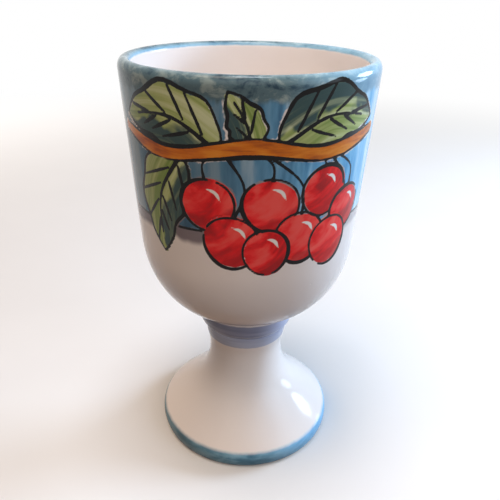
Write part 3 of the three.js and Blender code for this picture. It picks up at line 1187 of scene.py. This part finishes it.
lavender = brushed(round_the_axis(here), STEM_LAVENDER, stroke=RING_STROKE, blend=0.32)["Color"]
on_stem = brush_mask(here, minus(STEM_BAND, height), wander=0.7, softness=0.3)
colour = over(colour, lavender, times(on_stem, ease(reach, 11.0, 12.0)))
print("pedestal bands:", len(tree.nodes), "nodes")

# %% Paint the pedestal: bare clay and glaze
CLAY = tint(206, 176, 146)
CLAY_DARK = tint(178, 146, 116)
CLAY_ROUGHNESS = 0.8
BARE_BELOW = 0.35

clay = over(CLAY, CLAY_DARK, cloud(here, 0.002, 4.0, 0.7))
is_bare = brush_mask(here, minus(height, BARE_BELOW))
colour = over(colour, clay, is_bare)
roughness = add("Mix", {0: is_bare, 2: skin["Roughness"], 3: CLAY_ROUGHNESS}).outputs[0]
glaze_over(shader, colour, skin["Height"], roughness)
print("pedestal finish:", len(tree.nodes), "nodes")

# %% [markdown]
# ## Fired slip
# The slip beds between the pieces barely show. New skins would add nothing, so they keep their CAD shapes
# and get a matt, sandy finish.

# %% Finish the slip beds
SLIP = tint(214, 200, 184)
SLIP_DARK = tint(168, 150, 138)
SAND_SIZE = 0.0008

slip_beds = [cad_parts[name] for name in ("bowl_slip_bed", "stem_slip_bed")]
tree, shader = new_finish("fired_slip_joint", *slip_beds)
grain = cloud(place_of(tree), SAND_SIZE, 3.0, 0.7)
bump = add("Bump", {"Height": grain, "Strength": 0.4, "Distance": 0.0002})
join(over(SLIP, SLIP_DARK, grain), shader.inputs["Base Color"])
join(ease(grain, -0.6, 1.0), shader.inputs["Roughness"])
join(bump.outputs[0], shader.inputs["Normal"])
print("slip beds finished")

# %% [markdown]
# ## Floor
# A wide pale floor takes the soft shadow. Far from the chalice it fades to plain white for the eye and for
# reflections, by way of the Light Path node, so no extra lamp is needed to bleach it. For spread light it
# is a dim brown, because a pale floor would light the belly from below and flatten it. From below the floor
# is clear, so that the underside of the foot can be looked at, and inside the standing ring it is left out,
# so that the air lights the hollow.

# %% Lay the floor
FLOOR_SIZE = 14.0
FLOOR_DROP = 0.0003


def is_seen(tree):
    """1 for rays from the eye, straight or by a reflection or clear piece, and 0 for spread light."""
    path = add("LightPath", tree=tree).outputs
    seen = calculate("MAXIMUM", path["Is Camera Ray"], path["Is Glossy Ray"])
    return calculate("MAXIMUM", seen, path["Is Transmission Ray"])


bpy.ops.object.select_all(action="DESELECT")
bpy.ops.mesh.primitive_plane_add(size=FLOOR_SIZE, location=(0.0, 0.0, -FLOOR_DROP))
floor = bpy.context.object
floor.name = "studio_floor"
print(f"floor laid, {FLOOR_SIZE:.0f} m wide")

# %% Finish the floor
PLAIN_WHITE = (1.0, 1.0, 1.0, 1.0)
PAPER = tint(230, 228, 226)
PAPER_DIM = tint(225, 223, 221)
DIM_BROWN = tint(92, 68, 54)
UNDER_FOOT = 0.0305

tree, shader = new_finish("pale_floor", floor)
here = place_of(tree)
distance = length_of(here)
seen = is_seen(tree)
paper = over(PAPER, PAPER_DIM, cloud(here, 0.05))
join(over(DIM_BROWN, paper, seen), shader.inputs["Base Color"])
shader.inputs["Roughness"].default_value = 0.8
shader.inputs["Specular IOR Level"].default_value = 0.1
is_far = times(seen, ease(distance, 0.15, 0.8))
white = add("Emission", {"Color": PLAIN_WHITE, "Strength": 1.0}, tree)
faded = add("MixShader", {0: is_far, 1: shader.outputs[0], 2: white.outputs[0]})
from_below = add("NewGeometry", tree=tree).outputs["Backfacing"]
left_out = calculate("MAXIMUM", from_below, calculate("LESS_THAN", distance, UNDER_FOOT))
clear = add("BsdfTransparent", tree=tree)
surface = add("MixShader", {0: left_out, 1: faded.outputs[0], 2: clear.outputs[0]})
join(surface.outputs[0], tree.nodes["Material Output"].inputs["Surface"])
print("floor finish:", len(tree.nodes), "nodes")

# %% [markdown]
# ## Light
# The main light is a cool softbox at the right and a little behind, with a weaker one low beside it, which
# reaches under the bowl, and another at the right in front. Two warm ones, high at the left and low behind
# it, lift the shaded side. The low one is kept out of the gloss, where it would bleach the edge of the lip.
# A wide one fills from the front, and a small one over the mouth lights the inside of the bowl. The air
# round the chalice is white to the eye and adds a little even light. The lamps are set so that a colour
# renders about as it is written.

# %% Set the lamps
COOL = (0.6, 0.78, 1.0)
COOL_PALE = (0.68, 0.83, 1.0)
WARM = (1.0, 0.76, 0.56)
WARM_LOW = (1.0, 0.82, 0.68)
WARM_PALE = (1.0, 0.87, 0.77)
DAYLIGHT = (0.88, 0.92, 1.0)


def softbox(name, place, aim_height, size, power, colour, in_gloss=True):
    """An oval area lamp that looks at a height on the axis, and shows in the gloss or not."""
    bpy.ops.object.select_all(action="DESELECT")
    bpy.ops.object.light_add(type="AREA", location=place)
    lamp = bpy.context.object
    lamp.name = name
    towards = Vector((0.0, 0.0, aim_height)) - Vector(place)
    lamp.rotation_euler = towards.to_track_quat("-Z", "Y").to_euler()
    lamp.data.shape = "ELLIPSE"
    lamp.data.size, lamp.data.size_y = size
    lamp.data.energy = power
    lamp.data.color = colour
    lamp.visible_glossy = in_gloss
    print(f"{name}: {power} W")


softbox("right_softbox", (0.56, 0.22, 0.28), 0.08, (0.26, 0.18), 3.8, COOL)
softbox("right_low_softbox", (0.6, 0.12, 0.1), 0.06, (0.2, 0.12), 0.8, COOL)
softbox("right_front_softbox", (0.68, -0.38, 0.42), 0.08, (0.6, 0.5), 1.9, COOL_PALE)
softbox("left_back_softbox", (-0.45, 0.6, 0.2), 0.07, (0.5, 0.3), 1.8, WARM_LOW, in_gloss=False)
softbox("left_softbox", (-0.2, -0.16, 0.85), 0.05, (0.4, 0.4), 2.7, WARM)
softbox("front_softbox", (0.0, -0.75, 0.7), 0.1, (1.2, 0.8), 3.3, WARM_PALE)
softbox("top_softbox", (0.0, 0.0, 0.6), 0.1, (0.16, 0.16), 1.4, DAYLIGHT)

# %% Fill the air
AIR_LIGHT = 0.06

world = bpy.data.worlds.new("studio_air")
bpy.context.scene.world = world
world.use_nodes = True
tree = world.node_tree
strength = calculate("MULTIPLY_ADD", is_seen(tree), 1.0 - AIR_LIGHT, AIR_LIGHT)
join(strength, tree.nodes["Background"].inputs["Strength"])
tree.nodes["Background"].inputs["Color"].default_value = PLAIN_WHITE
bpy.context.scene.view_settings.view_transform = "Standard"
print("air light:", AIR_LIGHT)

# %% [markdown]
# ## Camera
# The camera looks down at the front from close by, tipped and rolled a little, so the mouth opens towards
# it. Its place and lens were fitted to the outline of the real chalice, because a guess by eye would bend
# the sides.

# %% Place the camera
CAMERA_PLACE = (0.0, -0.183978, 0.172955)
LOOKING_DOWN = 28.338
ROLL = 0.885
SENSOR_WIDTH = 36.0
LENS = 38.435
SHIFT_RIGHT, SHIFT_UP = 0.00648, 0.0231
NEAREST = 0.01

camera_data = bpy.data.cameras.new("front_camera")
camera_data.sensor_width = SENSOR_WIDTH
camera_data.lens = LENS
camera_data.shift_x = SHIFT_RIGHT
camera_data.shift_y = SHIFT_UP
camera_data.clip_start = NEAREST
camera = bpy.data.objects.new("front_camera", camera_data)
bpy.context.scene.collection.objects.link(camera)
tip = Matrix.Rotation(math.radians(90.0 - LOOKING_DOWN), 4, "X")
roll = Matrix.Rotation(math.radians(ROLL), 4, "Z")
camera.matrix_world = Matrix.Translation(CAMERA_PLACE) @ tip @ roll
bpy.context.scene.camera = camera
print("camera at", CAMERA_PLACE)
